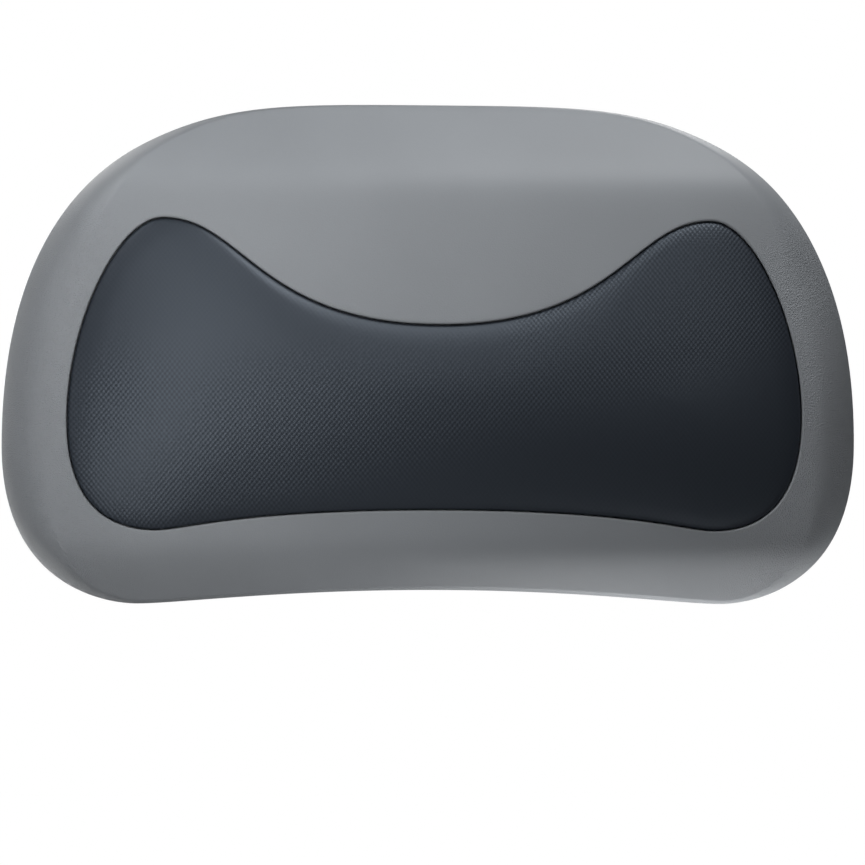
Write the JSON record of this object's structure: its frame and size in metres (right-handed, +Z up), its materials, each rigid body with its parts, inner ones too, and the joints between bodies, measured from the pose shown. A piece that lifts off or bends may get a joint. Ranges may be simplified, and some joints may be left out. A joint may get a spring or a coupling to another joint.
{
  "type": "bath pillow",
  "caption": "Contoured bath headrest: skinned foam body with a bow-tie pad sunk in its front, and swivelling pull-out suction cups on a screwed back panel.",
  "frame": {"origin": "centre of the plane of the four suction cup rims, at the middle of the pillow's width", "axes": "+X to the right seen from the front, +Y out of the back towards the tub's wall, +Z up"},
  "size_m": [0.33, 0.0841, 0.1918],
  "materials": {
    "cover_skin": "matte",
    "pad_skin": "matte",
    "foam": "matte",
    "carrier_plastic": "matte",
    "panel_plastic": "satin",
    "screw_steel": "satin",
    "socket_plastic": "satin",
    "cup_rubber": "gloss"
  },
  "bodies": {
    "pillow": {"outer_cover": "cover_skin", "foam_core": "foam", "pad_skin": "pad_skin", "pad_foam": "foam", "carrier_plate": "carrier_plastic", "back_panel": "panel_plastic", "panel_screw_1": "screw_steel", "panel_screw_2": "screw_steel", "panel_screw_3": "screw_steel", "panel_screw_4": "screw_steel", "panel_screw_5": "screw_steel", "panel_screw_6": "screw_steel"},
    "socket_upper_left": {"cup_socket_upper_left": "socket_plastic"},
    "cup_upper_left": {"suction_cup_upper_left": "cup_rubber"},
    "socket_upper_right": {"cup_socket_upper_right": "socket_plastic"},
    "cup_upper_right": {"suction_cup_upper_right": "cup_rubber"},
    "socket_lower_left": {"cup_socket_lower_left": "socket_plastic"},
    "cup_lower_left": {"suction_cup_lower_left": "cup_rubber"},
    "socket_lower_right": {"cup_socket_lower_right": "socket_plastic"},
    "cup_lower_right": {"suction_cup_lower_right": "cup_rubber"}
  },
  "joints": [
    {"name": "swivel_upper_left", "type": "hinge", "parent": "pillow", "child": "socket_upper_left", "pos_m": [-0.09087, 0, 0.04067], "axis": [0, 1, 0], "continuous": true},
    {"name": "pull_upper_left", "type": "slide", "parent": "socket_upper_left", "child": "cup_upper_left", "axis": [0, 1, 0], "range_m": [0, 0.02]},
    {"name": "swivel_upper_right", "type": "hinge", "parent": "pillow", "child": "socket_upper_right", "pos_m": [0.09087, 0, 0.04067], "axis": [0, 1, 0], "continuous": true},
    {"name": "pull_upper_right", "type": "slide", "parent": "socket_upper_right", "child": "cup_upper_right", "axis": [0, 1, 0], "range_m": [0, 0.02]},
    {"name": "swivel_lower_left", "type": "hinge", "parent": "pillow", "child": "socket_lower_left", "pos_m": [-0.11627, 0, -0.0499], "axis": [0, 1, 0], "continuous": true},
    {"name": "pull_lower_left", "type": "slide", "parent": "socket_lower_left", "child": "cup_lower_left", "axis": [0, 1, 0], "range_m": [0, 0.02]},
    {"name": "swivel_lower_right", "type": "hinge", "parent": "pillow", "child": "socket_lower_right", "pos_m": [0.11627, 0, -0.0499], "axis": [0, 1, 0], "continuous": true},
    {"name": "pull_lower_right", "type": "slide", "parent": "socket_lower_right", "child": "cup_lower_right", "axis": [0, 1, 0], "range_m": [0, 0.02]}
  ]
}
